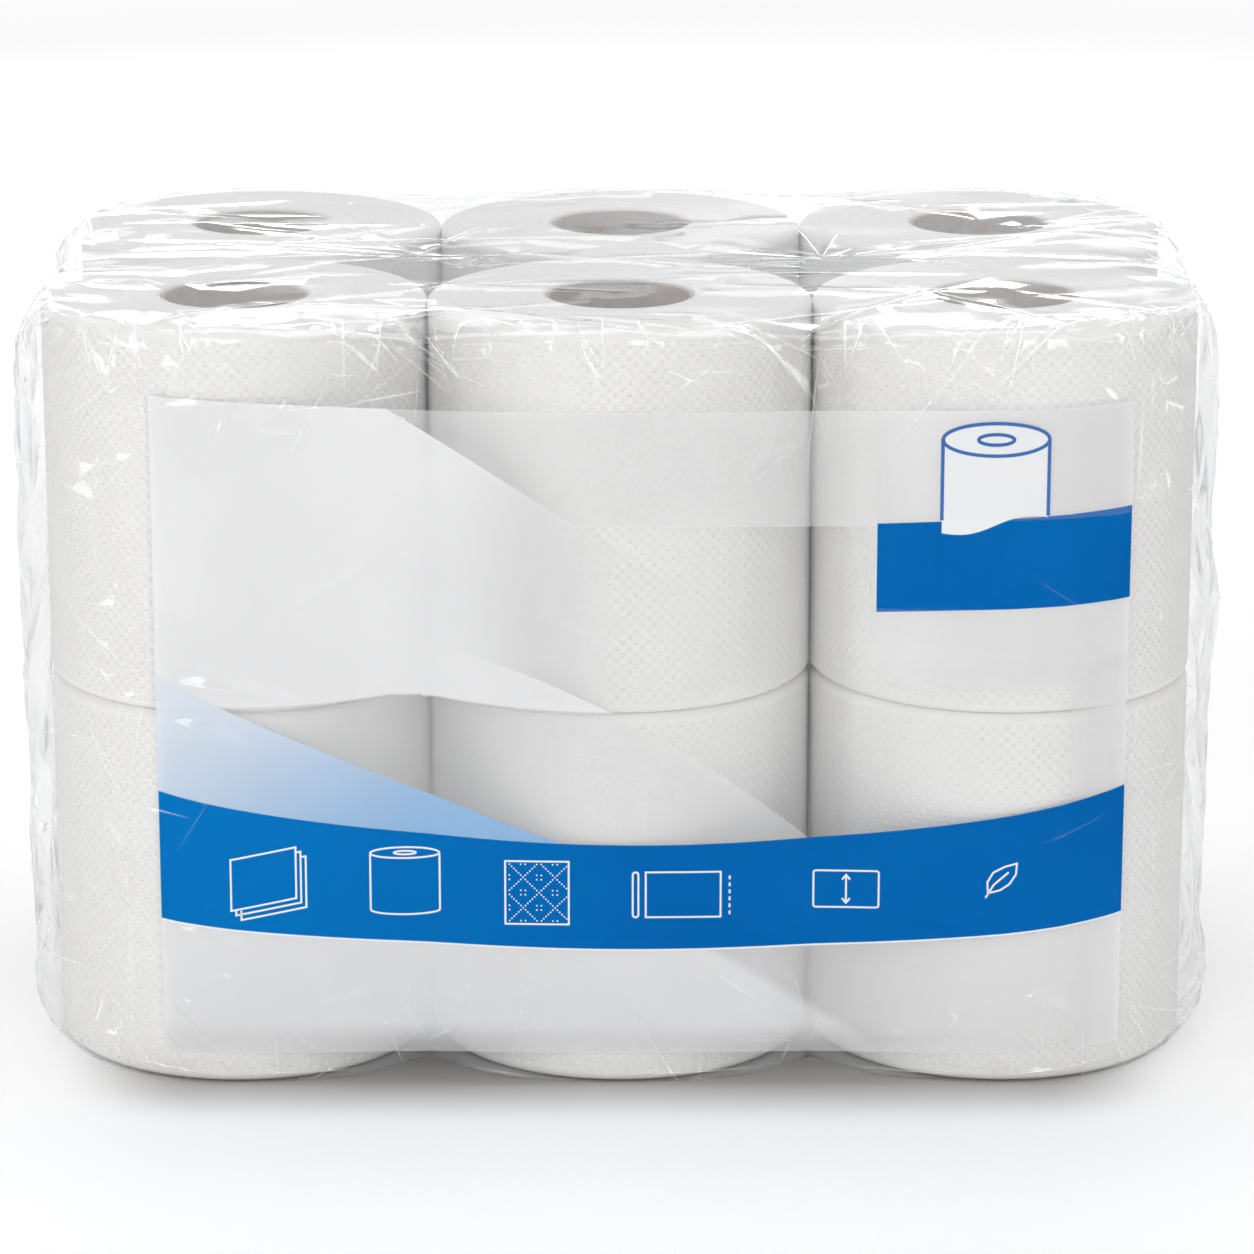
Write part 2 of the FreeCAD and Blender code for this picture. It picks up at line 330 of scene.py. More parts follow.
# A copy of a roll with its own mesh: turned about its axis, a little soft, and set in place
def settle(master, name, foot, flipped, height):
    spec = paperRoll
    piece = copied(master, name)
    place = points(piece)
    turn = chance.uniform(0, 2 * math.pi)
    c, s = math.cos(turn), math.sin(turn)
    x, y = place[:, 0].copy(), place[:, 1].copy()
    place[:, 0], place[:, 1] = c * x - s * y, s * x + c * y
    angle = np.arctan2(place[:, 1], place[:, 0])
    phase = chance.uniform(0, 2 * math.pi, 4)
    wave = np.sin(2 * angle + phase[0]) + 0.6 * np.sin(3 * angle + phase[1] + place[:, 2] * 30)
    touching = np.abs(np.cos(angle)) ** spec["pressFocus"]  # the sides that meet a neighbour stay full
    give = (wave / 1.6 * 0.5 - 0.5) * spec["slack"] * (1 - touching) + spec["press"] * touching
    outward = np.clip((radii(place) - spec["stiffReach"]) / spec["softReach"], 0, 1)[:, None]
    place[:, :2] *= 1 + outward * (give / spec["radius"])[:, None]
    if flipped:  # the end with the turns goes up
        place[:, 1] *= -1
        place[:, 2] = height - place[:, 2]
    movePoints(piece, place + np.array(foot))
    return piece


# Cardboard core

boardTube = {"segments": 72, "lip": 0.00025, "wall": 0.0012, "cuts": 7, "smoothBelow": 40}


def makeCore(radius, height):
    spec = boardTube
    lip, inside = spec["lip"], radius - spec["wall"]
    piece = openTube(spec["segments"], radius, height, lip)
    for level, way in ((lip, 1), (height - lip, -1)):
        pickEdges(piece, ringAt(level))
        startEdit()
        turnRing([(radius, level), (radius - lip, level - way * lip), (inside + lip, level - way * lip),
                  (inside, level)])
        endEdit()
    closeBore(piece, inside, spec["cuts"])
    bpy.ops.object.shade_smooth_by_angle(angle=math.radians(spec["smoothBelow"]))
    return piece


# Film: the outer face of the frame's film, cut along straight creases that are then raised

filmSheet = {
    "cuts": 1, "weld": 0.00001,
    "crestHalf": 0.00032,  # a crease's crest is a strip this wide on each side
    "snap": 0.00008, "depthOfSheet": 0.012,
    "triangleReach": 0.013,  # how far a triangle of the uncut sheet may reach past its middle
    "slackLift": 0.0007, "lidSlack": 0.55,  # random stand of the sheet between its creases, and its share on the lid
    "clearOfFloor": 0.0001,
    "seams": (-0.0477, 0.0477),
    "arch": 0.0035,  # how far the sheet's foot rises where two rolls meet
    "archReach": 0.011, "archFrom": 0.055, "archBlend": 0.03, "archTop": 0.024,
    # creases that link the back's gathered points: how many points, their spacing, height, gleam
    "links": (40, 0.026, (0.0003, 0.0009), (0.0, 0.25)),
    # loose creases: where, how many, heading and its spread in degrees, half length, width, height, gleam
    "loose": [
        ("end", 34, 60, 32, (0.004, 0.014), (0.0012, 0.003), (0.0002, 0.0008), (0.2, 1.0)),
        ("lid", 84, 0, 20, (0.010, 0.045), (0.0012, 0.003), (0.0002, 0.0007), (0.2, 1.0)),
        ("rim", 130, 70, 40, (0.004, 0.011), (0.0012, 0.003), (0.0002, 0.0007), (0.2, 1.0)),
        ("topBand", 36, 25, 40, (0.005, 0.018), (0.0015, 0.004), (0.0002, 0.0007), (0.2, 1.0)),
        ("lowEdge", 70, 55, 35, (0.003, 0.010), (0.001, 0.0025), (0.0002, 0.0006), (0.2, 1.0)),
        ("back", 50, 45, 40, (0.006, 0.022), (0.0015, 0.004), (0.0002, 0.0008), (0.0, 0.35)),
        ("foot", 30, 30, 50, (0.01, 0.025), (0.0015, 0.004), (0.0001, 0.0004), (0.2, 1.0)),
    ],
    # fans on each seam: the spot's Y and Z, how many, first angle and opening, half length, height, gleam
    "fans": [
        (-0.09, 0.184, 6, 170, 200, (0.004, 0.020), (0.0001, 0.0004), (0.1, 0.5)),
        (-0.093, 0.010, 7, 5, 170, (0.004, 0.014), (0.0002, 0.0006), (0.1, 0.5)),
        (0.0, 0.19, 9, 0, 360, (0.012, 0.03), (0.0001, 0.0004), (0.1, 0.7)),
        (0.09, 0.184, 8, 160, 220, (0.006, 0.022), (0.0001, 0.0004), (0.1, 0.7)),
    ],
    # soft folds on the front, in tenths of a millimetre: X and Z of both ends, half width, height
    "folds": [
        (297, 1521, 443, 1635, 30, 9), (-1018, 1573, -933, 1700, 35, 8), (175, 965, 419, 1028, 30, 7),
        (687, 1738, 930, 1705, 22, 6), (385, 315, 450, 255, 26, 9), (700, 295, 780, 325, 26, 9),
        (580, 215, 625, 275, 22, 8), (-520, 1690, -200, 1480, 35, 6), (-1085, 600, -960, 800, 45, 9),
        (-1120, 420, -900, 350, 30, 8), (-1050, 230, -930, 300, 30, 10), (-700, 200, -480, 130, 35, 7),
        (-1120, 950, -850, 860, 30, 8), (-1110, 1040, -760, 990, 28, 8), (180, 330, 400, 180, 24, 5),
        (960, 250, 1180, 160, 30, 8), (-180, 1200, 120, 1080, 50, 5), (520, 880, 700, 960, 30, 6),
        (-840, 1180, -600, 1330, 50, 6), (1000, 1300, 1190, 1180, 30, 6), (1020, 620, 1230, 700, 30, 8),
    ],
    # the same along the line where the sheet turns under, two for each roll
    "footFolds": [
        (-1320, 50, -1000, 34, 16, 7), (-980, 30, -620, 40, 16, 6), (-420, 46, -80, 30, 16, 7),
        (-20, 28, 400, 44, 16, 6), (560, 46, 900, 30, 16, 7), (940, 30, 1340, 52, 16, 7),
    ],
}


def filmBase():
    spec = filmSheet
    piece = copied(frame["nodes"]["film_wrap"], "clearFilm")
    pickOnly(piece)
    bpy.context.tool_settings.mesh_select_mode = (True, False, False)
    startEdit()
    bpy.ops.mesh.select_all(action="SELECT")
    bpy.ops.mesh.remove_doubles(threshold=spec["weld"])
    bpy.ops.mesh.select_all(action="DESELECT")
    endEdit()
    piece.data.vertices[int(np.argmin(points(piece)[:, 2]))].select = True
    startEdit()
    bpy.ops.mesh.select_linked()
    bpy.ops.mesh.select_all(action="INVERT")
    bpy.ops.mesh.delete(type="VERT")
    bpy.ops.mesh.select_all(action="SELECT")
    bpy.ops.mesh.subdivide(number_cuts=spec["cuts"])
    bpy.ops.mesh.quads_convert_to_tris()
    endEdit()
    evenOut(piece)
    return piece


def archedFoot(place):
    spec = filmSheet
    arched = place.copy()
    for seam in spec["seams"]:
        beside = (np.exp(-((place[:, 0] - seam) / spec["archReach"]) ** 2)
                  * np.clip((np.abs(place[:, 1]) - spec["archFrom"]) / spec["archBlend"], 0, 1))
        arched[:, 2] += spec["arch"] * beside * np.clip(1 - place[:, 2] / spec["archTop"], 0, 1) ** 2
    return arched


def pointNormals(piece):
    piece.data.update()
    normals = np.empty(len(piece.data.vertices) * 3)
    piece.data.vertices.foreach_get("normal", normals)
    return normals.reshape(-1, 3)


def corners(piece):
    tris = np.empty(len(piece.data.polygons) * 3, int)
    piece.data.polygons.foreach_get("vertices", tris)
    return tris.reshape(-1, 3)


# Moves each point half way to the middle of its neighbours
def evenOut(piece):
    place, ends = points(piece), edgeEnds(piece.data)
    count = np.bincount(ends.ravel(), minlength=len(place))[:, None]
    total = np.zeros_like(place)
    for axis in range(3):
        total[:, axis] = (np.bincount(ends[:, 0], place[ends[:, 1], axis], len(place))
                          + np.bincount(ends[:, 1], place[ends[:, 0], axis], len(place)))
    movePoints(piece, place * 0.5 + total / count * 0.5)


# A straight fold: where it lies, how far it runs each way, and how it stands out
class Crease:
    def __init__(self, origin, normal, along, half, width, height, gleam):
        self.origin, self.normal = np.array(origin), normal / np.linalg.norm(normal)
        along = along - self.normal * (along @ self.normal)
        self.along = along / np.linalg.norm(along)
        self.across = np.cross(self.normal, self.along)
        self.half, self.width, self.height, self.gleam = half, width, height, gleam


# Two directions in the sheet: level, and up along it
def levelAndUp(normal):
    level = np.cross(normal, (0, 0, 1)) if abs(normal[2]) < 0.85 else np.array((1.0, 0, 0))
    level = level / np.linalg.norm(level)
    return level, np.cross(level, normal)


# Creases that start at random picked points; heading is the angle from level, in degrees
def scattered(place, normals, pick, count, heading, spread, half, width, height, gleam):
    found = []
    starts = np.flatnonzero(pick)
    for _ in range(count):
        start = starts[chance.integers(len(starts))]
        normal = normals[start]
        level, up = levelAndUp(normal)
        tilt = math.radians(heading + chance.normal(0, spread))
        jitter = chance.normal(0, 0.003, 3)
        found.append(Crease(place[start] + jitter - normal * (jitter @ normal), normal,
                            level * math.cos(tilt) + up * math.sin(tilt), chance.uniform(*half),
                            chance.uniform(*width), chance.uniform(*height), chance.uniform(*gleam)))
    return found


# Creases that join scattered gathering points to their neighbours, as on a tight sheet
def linked(place, normals, pick, count, reach, height, gleam):
    found = []
    knots = []
    for start in chance.permutation(np.flatnonzero(pick)):
        if all(np.linalg.norm(place[start] - place[k]) > reach for k in knots):
            knots.append(start)
        if len(knots) >= count:
            break
    for i, k in enumerate(knots):
        away = [(np.linalg.norm(place[k] - place[j]), j) for j in knots[:i]
                if np.linalg.norm(place[k] - place[j]) < reach * 2.1 and normals[k] @ normals[j] > 0.55]
        for distance, j in sorted(away)[:5]:
            found.append(Crease((place[k] + place[j]) / 2, normals[k] + normals[j], place[k] - place[j],
                                distance * 0.54, chance.uniform(0.002, 0.006), chance.uniform(*height),
                                chance.uniform(*gleam)))
    return found


# Creases that spread from one gathered spot; start and opening are angles in degrees
def fan(place, normals, target, count, start, opening, half, height, gleam):
    near = int(np.argmin(np.linalg.norm(place - np.array(target), axis=1)))
    level, up = levelAndUp(normals[near])
    found = []
    for i in range(count):
        angle = math.radians(start + opening * (i + chance.uniform(-0.6, 0.6)) / count)
        along = level * math.cos(angle) + up * math.sin(angle)
        reach = chance.uniform(*half)
        found.append(Crease(place[near] + along * reach * 0.85, normals[near], along, reach,
                            chance.uniform(0.0015, 0.003), chance.uniform(*height), chance.uniform(*gleam)))
    return found


# Facets on both ends of the sheet

endFacets = {
    "centre": 0.080, "radius": 0.072,  # the curve on which they are laid out flat
    "spacing": (0.008, 0.021), "tries": 2500,
    "stand": 0.0027, "standBias": 1.3,  # how far their corners stand out, and how few stand far
    "longest": 0.045, "width": 0.0013, "height": (0.0001, 0.0004),  # the creases on their sides
    "gleaming": 0.5, "gleam": (0.2, 1.0), "dull": 0.03,
    "frontFrom": {-1: 0.1120, 1: 0.1245}, "backFrom": 0.105, "fromBlend": 0.010,  # how near the middle they start
    "footBlend": 0.012, "top": 0.193, "topBlend": 0.014,
}


# Where points lie round one end of the pack: metres along it, and height
def roundEnd(place, side):
    along = np.arctan2(place[:, 1], side * place[:, 0] - endFacets["centre"]) * endFacets["radius"]
    return np.column_stack([along, place[:, 2]])


# Flat triangles between scattered corners that stand out from one end of the sheet
class Facets:
    def __init__(self, place, normals, pick, side):
        spec = endFacets
        self.side = side
        flat = roundEnd(place, side)
        chosen = []
        for start in chance.permutation(np.flatnonzero(pick & (place[:, 0] * side > 0)))[:spec["tries"]]:
            reach = chance.uniform(*spec["spacing"])
            if all(np.hypot(*(flat[start] - flat[k])) > reach for k in chosen):
                chosen.append(start)
        result = delaunay_2d_cdt([Vector(flat[k]) for k in chosen], [], [], 0, 0.00001)
        self.tris = np.array(result[2])
        self.corners = np.array([v[:] for v in result[0]])
        self.stand = spec["stand"] * chance.uniform(0, 1, len(self.corners)) ** spec["standBias"]
        origin = [chosen[group[0]] for group in result[3]]
        self.creases = []
        for a, b in result[1]:
            first, second = place[origin[a]], place[origin[b]]
            span = np.linalg.norm(first - second)
            gleam = chance.uniform(*spec["gleam"]) if chance.random() < spec["gleaming"] else spec["dull"]
            height = chance.uniform(*spec["height"])
            if span < spec["longest"]:
                self.creases.append(Crease((first + second) / 2, normals[origin[a]] + normals[origin[b]],
                                           first - second, span * 0.52, spec["width"], height, gleam))

    def lift(self, place):
        spec = endFacets
        flat = roundEnd(place, self.side)
        lift = np.zeros(len(place))
        ours = np.flatnonzero(place[:, 0] * self.side > 0.09)
        for tri in self.tris:
            a, b, c = self.corners[tri]
            size = (b[0] - a[0]) * (c[1] - a[1]) - (b[1] - a[1]) * (c[0] - a[0])
            if abs(size) < 1e-9:
                continue
            offset = flat[ours] - a
            u = (offset[:, 0] * (c[1] - a[1]) - offset[:, 1] * (c[0] - a[0])) / size
            v = (offset[:, 1] * (b[0] - a[0]) - offset[:, 0] * (b[1] - a[1])) / size
            here = (u >= -1e-6) & (v >= -1e-6) & (u + v <= 1 + 1e-6)
            stand = self.stand[tri]
            lift[ours[here]] = (stand[0] + u * (stand[1] - stand[0]) + v * (stand[2] - stand[0]))[here]
        start = np.where(place[:, 1] < 0, spec["frontFrom"][self.side], spec["backFrom"])
        fade = np.clip((place[:, 0] * self.side - start) / spec["fromBlend"], 0, 1)
        return (lift * fade * np.clip(place[:, 2] / spec["footBlend"], 0, 1)
                * np.clip((spec["top"] - place[:, 2]) / spec["topBlend"], 0, 1))


def softFolds(place, normals):
    found = []
    for rows, gleam in ((filmSheet["folds"], 0.12), (filmSheet["footFolds"], 0.8)):
        for row in rows:
            xa, za, xb, zb, width, height = (value / 10000 for value in row)
            middle = np.array(((xa + xb) / 2, -0.094, (za + zb) / 2))
            near = int(np.argmin(np.linalg.norm(place - middle, axis=1)))
            along = np.array((xb - xa, 0, zb - za))
            origin = np.array((middle[0], place[near][1], middle[2]))
            found.append(Crease(origin, normals[near], along, np.linalg.norm(along) / 2, width, height, gleam))
    return found


# Cuts the triangles along every crease's crest and along a line close to each side of it
def cutCreases(place, tris, creases):
    spec = filmSheet
    mostPoints, mostFaces = 400000, 600000
    places = np.empty((mostPoints, 3))
    places[:len(place)] = place
    faces = np.empty((mostFaces, 3), int)
    faces[:len(tris)] = tris
    middles = np.empty((mostFaces, 3))
    middles[:len(tris)] = place[tris].mean(axis=1)
    pointCount, faceCount = len(place), len(tris)
    for crease in creases:
        span = crease.half + spec["triangleReach"]
        near = np.flatnonzero((np.abs(middles[:faceCount] - crease.origin) < span).all(axis=1))
        for shift in (0.0, -spec["crestHalf"], spec["crestHalf"]):
            group = faces[near]
            offset = places[group] - crease.origin
            d = offset @ crease.across - shift
            d[np.abs(d) < spec["snap"]] = 0
            crossed = np.flatnonzero((d.min(axis=1) < 0) & (d.max(axis=1) > 0))
            if not len(crossed):
                continue
            t = offset @ crease.along
            h = offset @ crease.normal
            split = {}
            for c in crossed:
                for a, b in ((0, 1), (1, 2), (2, 0)):
                    if d[c, a] * d[c, b] < 0:
                        i, j = int(group[c, a]), int(group[c, b])
                        key = (i, j) if i < j else (j, i)
                        if key in split:
                            continue
                        share = d[c, a] / (d[c, a] - d[c, b])
                        at = t[c, a] + share * (t[c, b] - t[c, a])
                        out = h[c, a] + share * (h[c, b] - h[c, a])
                        if abs(at) < crease.half and abs(out) < spec["depthOfSheet"]:
                            places[pointCount] = places[i] * (1 - share) + places[j] * share
                            split[key] = pointCount
                            pointCount += 1
            added = []
            for c in crossed:
                i, j, k = (int(v) for v in group[c])
                new = [split.get((a, b) if a < b else (b, a)) for a, b in ((i, j), (j, k), (k, i))]
                cut = [n for n in range(3) if new[n] is not None]
                if not cut:
                    continue
                face = near[c]
                if len(cut) == 1:
                    a, b, e = ((i, j, k), (j, k, i), (k, i, j))[cut[0]]
                    m = new[cut[0]]
                    faces[face] = (a, m, e)
                    added.append((m, b, e))
                else:
                    whole = ({0, 1, 2} - set(cut)).pop()  # the edge left whole
                    a, b, e = ((i, j, k), (j, k, i), (k, i, j))[whole]
                    p, q = new[(whole + 1) % 3], new[(whole + 2) % 3]
                    faces[face] = (p, e, q)
                    added += [(a, b, p), (a, p, q)]
                middles[face] = places[faces[face]].mean(axis=0)
            if added:
                count = len(added)
                faces[faceCount:faceCount + count] = added
                middles[faceCount:faceCount + count] = places[faces[faceCount:faceCount + count]].mean(axis=1)
                near = np.concatenate([near, np.arange(faceCount, faceCount + count)])
                faceCount += count
    return places[:pointCount].copy(), faces[:faceCount].copy()


# How far each point stands out on the creases it lies by, and how near it is to a crest
def raiseCreases(place, creases):
    lift = np.zeros(len(place))
    crest = np.zeros(len(place))
    narrow = filmSheet["crestHalf"]
    for crease in creases:
        near = np.flatnonzero((np.abs(place - crease.origin) < crease.half + crease.width).all(axis=1))
        offset = place[near] - crease.origin
        t = np.clip(1 - (offset @ crease.along / crease.half) ** 2, 0, 1)
        d = np.abs(offset @ crease.across)
        here = np.abs(offset @ crease.normal) < filmSheet["depthOfSheet"]
        roof = 0.7 * np.clip(1 - d / crease.width, 0, 1) + 0.3 * np.clip(1 - d / (2.5 * narrow), 0, 1)
        lift[near] = np.maximum(lift[near], crease.height * roof * np.sqrt(t) * here)
        # The crest's strength, which the film's finish turns partly into a painted white highlight line
        line = crease.gleam * np.clip(1 - d / (narrow * 0.98), 0, 1) * t * here
        crest[near] = np.maximum(crest[near], line)
    return lift, crest


def filmMesh(piece, place, tris):
    mesh = bpy.data.meshes.new("clearFilm")
    mesh.from_pydata(place, [], tris)
    old = piece.data
    piece.data = mesh
    bpy.data.meshes.remove(old)
    mesh.validate()


# Finishes

paperLook = {
    "fibreScale": 1400, "cloudScale": 60, "turnScale": 1600,
    "turnsEnd": (0.0445, 0.0452), "turnsStart": (0.0186, 0.0192),  # radii where the wound turns fade in and out
    "tones": [(0.0, (0.78, 0.765, 0.745, 1)), (0.5, (0.89, 0.883, 0.87, 1)), (1.0, (0.93, 0.925, 0.915, 1))],
    "rough": 0.92, "specular": 0.2, "grain": 0.00014, "grainStrength": 0.6,
}


def paperFinish():
    look = paperLook
    f = Finish("embossedPaper")
    x, y, z = f.split(f.kept("ownPlace", "Vector"))
    reach = (x * x + y * y).root()
    place = f.place()
    fibre = f.noise(place, look["fibreScale"], 4.0, 0.7)
    cloud = f.noise(place, look["cloudScale"], 3.0, 0.5)
    outward = f.add("ShaderNodeCombineXYZ", values=[reach * look["turnScale"], 0.0, 0.0])
    onEnd = (1 - reach.rise(*look["turnsEnd"])) * reach.rise(*look["turnsStart"])
    ring = (f.noise(outward, 1.0, 2.0, 0.6) - 0.5) * onEnd
    tone = 0.5 + (fibre - 0.5) * 0.25 + (cloud - 0.5) * 0.35 + ring * 0.9
    colour = f.add("ShaderNodeValToRGB", {"stops": look["tones"]}, [tone])
    normal = f.bump(fibre * 0.6 + cloud * 0.6 + ring * 2.0, look["grain"], look["grainStrength"])
    return f.show(f.skin(colour, look["rough"], look["specular"], normal))


boardLook = {
    "fibreScale": 1100, "fibreStretch": (1, 1, 0.4), "fleckScale": 260,
    "seamPitch": 0.062, "seamWidth": 0.012,  # the joint winds round the core
    "tones": [(0.15, (0.22, 0.165, 0.125, 1)), (0.5, (0.42, 0.335, 0.275, 1)), (0.85, (0.58, 0.49, 0.42, 1))],
    "rough": 0.85, "specular": 0.5, "grain": 0.00025, "grainStrength": 0.7,
}


def boardFinish():
    look = boardLook
    f = Finish("greyBoard")
    x, y, z = f.split(f.kept("ownPlace", "Vector"))
    angle = f.add("ShaderNodeMath", {"operation": "ARCTAN2"}, [y, x])
    seam = (angle / (2 * math.pi) + z / look["seamPitch"]).part()
    line = 1 - abs(seam - 0.5).rise(0.0, look["seamWidth"])
    place = f.place()
    fibre = f.noise(f.stretched(place, look["fibreStretch"]), look["fibreScale"], 4.0, 0.75)
    fleck = f.noise(place, look["fleckScale"], 2.0, 0.5)
    colour = f.add("ShaderNodeValToRGB", {"stops": look["tones"]}, [fibre * 0.6 + fleck * 0.5 - line * 0.35])
    normal = f.bump(fibre + line * -1.5, look["grain"], look["grainStrength"])
    return f.show(f.skin(colour, look["rough"], look["specular"], normal))


# Print behind the film's front. Heights are from the floor and X from the middle, in metres.

printPlan = {
    "left": -0.1125, "right": 0.1245, "foot": 0.0085,
    "topEnds": 0.1722, "topMiddle": 0.1710, "topTurn": -0.045, "topRise": 0.037,  # the top rises left of the turn
    "bandEnds": (0.0425, 0.0755), "bandMiddle": (0.0355, 0.0625),
    "sweepTop": 0.105, "sweepTip": -0.014, "sweepSag": 0.6,
    "bannerLeft": 0.0625, "bannerFoot": (0.1215, 0.1232), "bannerHead": (0.1435, 0.1462),
    "cell": 0.0013, "lineStep": 0.0015,
    "panelDepth": 0.00020, "sweepDepth": 0.00015, "bandDepth": 0.00011, "signDepth": 0.00009, "markDepth": 0.00006,
}


# Height of an arc that hangs between the panel's two edges, at x
def hanging(x, ends, middle):
    half = (printPlan["right"] - printPlan["left"]) / 2
    centre = (printPlan["right"] + printPlan["left"]) / 2
    share = (x - centre) / half
    return middle + (ends - middle) * share * share


def bandFoot(x): return hanging(x, printPlan["bandEnds"][0], printPlan["bandMiddle"][0])


def bandHead(x): return hanging(x, printPlan["bandEnds"][1], printPlan["bandMiddle"][1])


def panelTop(x):
    plan = printPlan
    return hanging(x, plan["topEnds"], plan["topMiddle"]) + max(0.0, plan["topTurn"] - x) * plan["topRise"]


def slope(x, first, second):
    (xa, za), (xb, zb) = first, second
    return (x - xa) * ((zb - za) / (xb - xa)) + za


def sweepHead(x):
    plan = printPlan
    left, tip = plan["left"], plan["sweepTip"]
    return slope(x, (left, plan["sweepTop"]), (tip, bandHead(tip))) - (x - left) * (tip - x) * plan["sweepSag"]


# A straight edge of the banner from its height at the left to that at the right
def bannerEdge(x, ends): return slope(x, (printPlan["bannerLeft"], ends[0]), (printPlan["right"], ends[1]))


# Sets flat points (x, z) just behind the film's front
def laidBehind(base, places, depth):
    laid = []
    for x, z in places:
        spot, normal, index, distance = base.ray_cast(Vector((x, -0.2, z)), Vector((0, 1, 0)))
        if spot is None:
            spot, normal, index, distance = base.find_nearest(Vector((x, -0.1, z)))
        laid.append((x, spot.y + depth, z))
    return laid


# A thin field of ink from left to right between two heights that depend on x
def inkSheet(name, base, left, right, low, high, depth):
    columns = max(2, round((right - left) / printPlan["cell"]))
    tallest = max(high(left + (right - left) * i / 20) - low(left + (right - left) * i / 20) for i in range(21))
    rows = max(2, round(tallest / printPlan["cell"]))
    bpy.ops.object.select_all(action="DESELECT")
    bpy.ops.mesh.primitive_grid_add(x_subdivisions=columns, y_subdivisions=rows, size=1, location=(0, 0, 0))
    piece = bpy.context.object
    piece.name = name
    flat = []
    for u, v, w in points(piece):
        x = left + (right - left) * (u + 0.5)
        flat.append((x, low(x) + (high(x) - low(x)) * (v + 0.5)))
    movePoints(piece, np.array(laidBehind(base, flat, depth)))
    bpy.ops.object.shade_smooth()
    return piece


# Flat lines of ink: each is a width, whether it closes, and its points (x, z)
def strokes(name, base, lines, depth):
    places, faces = [], []
    for width, closed, corner in lines:
        track = []
        rim = list(zip(corner, corner[1:] + corner[:1] if closed else corner[1:]))
        for a, b in rim:
            steps = max(1, math.ceil(math.dist(a, b) / printPlan["lineStep"]))
            track += [(a[0] + (b[0] - a[0]) * i / steps, a[1] + (b[1] - a[1]) * i / steps) for i in range(steps)]
        if not closed:
            track.append(corner[-1])
        first = len(places)
        count = len(track)
        for i, spot in enumerate(track):
            before = track[i - 1] if i or closed else spot
            after = track[(i + 1) % count] if i < count - 1 or closed else spot
            a = Vector((spot[0] - before[0], spot[1] - before[1]))
            b = Vector((after[0] - spot[0], after[1] - spot[1]))
            a = a.normalized() if a.length > 1e-9 else b.normalized()
            b = b.normalized() if b.length > 1e-9 else a
            mitre = Vector((-(a + b).y, (a + b).x)).normalized()
            reach = width / 2 / max(0.35, mitre.dot(Vector((-a.y, a.x))))
            places += [(spot[0] + mitre.x * reach, spot[1] + mitre.y * reach),
                       (spot[0] - mitre.x * reach, spot[1] - mitre.y * reach)]
        for i in range(count if closed else count - 1):
            j = (i + 1) % count
            faces.append((first + 2 * i, first + 2 * i + 1, first + 2 * j + 1, first + 2 * j))
    mesh = bpy.data.meshes.new(name)
    mesh.from_pydata(laidBehind(base, places, depth), [], faces)
    piece = bpy.data.objects.new(name, mesh)
    bpy.context.collection.objects.link(piece)
    pickOnly(piece)
    startEdit()
    bpy.ops.mesh.select_all(action="SELECT")
    bpy.ops.mesh.normals_make_consistent(inside=False)
    endEdit()
    if piece.data.polygons[0].normal.y > 0:
        piece.data.flip_normals()
    return piece


# Points of an oval or of a part of it, between two angles in degrees
def oval(x, z, across, up, start=0, stop=360, count=28):
    turns = [math.radians(start + (stop - start) * i / count) for i in range(count + (stop - start < 360))]
    return [(x + across * math.cos(turn), z + up * math.sin(turn)) for turn in turns]


def box(left, foot, right, top, bend=0.0):
    if not bend:
        return [(left, foot), (right, foot), (right, top), (left, top)]
    ring = []
    for x, z, start in ((right - bend, foot + bend, -90), (right - bend, top - bend, 0),
                        (left + bend, top - bend, 90), (left + bend, foot + bend, 180)):
        ring += oval(x, z, bend, bend, start, start + 90, 4)
    return ring


signPlan = {
    "line": 0.00048, "dot": 0.00036, "topLine": 0.00085, "edgeLine": 0.0005, "edgeSteps": 60,
    "sheetSteps": (0.00120, 0.00245),
    "square": (-0.0277, 0.0421, -0.0121, 0.0583), "dotPitch": 0.00056, "dotPeriod": 14, "dotCounts": (26, 27),
    "topRoll": (0.0907, 0.1644), "topOval": (0.0128, 0.0040), "topFeet": (0.1445, 0.1455),
    "bareLeft": 0.0779, "bareWidth": 0.0256,
}


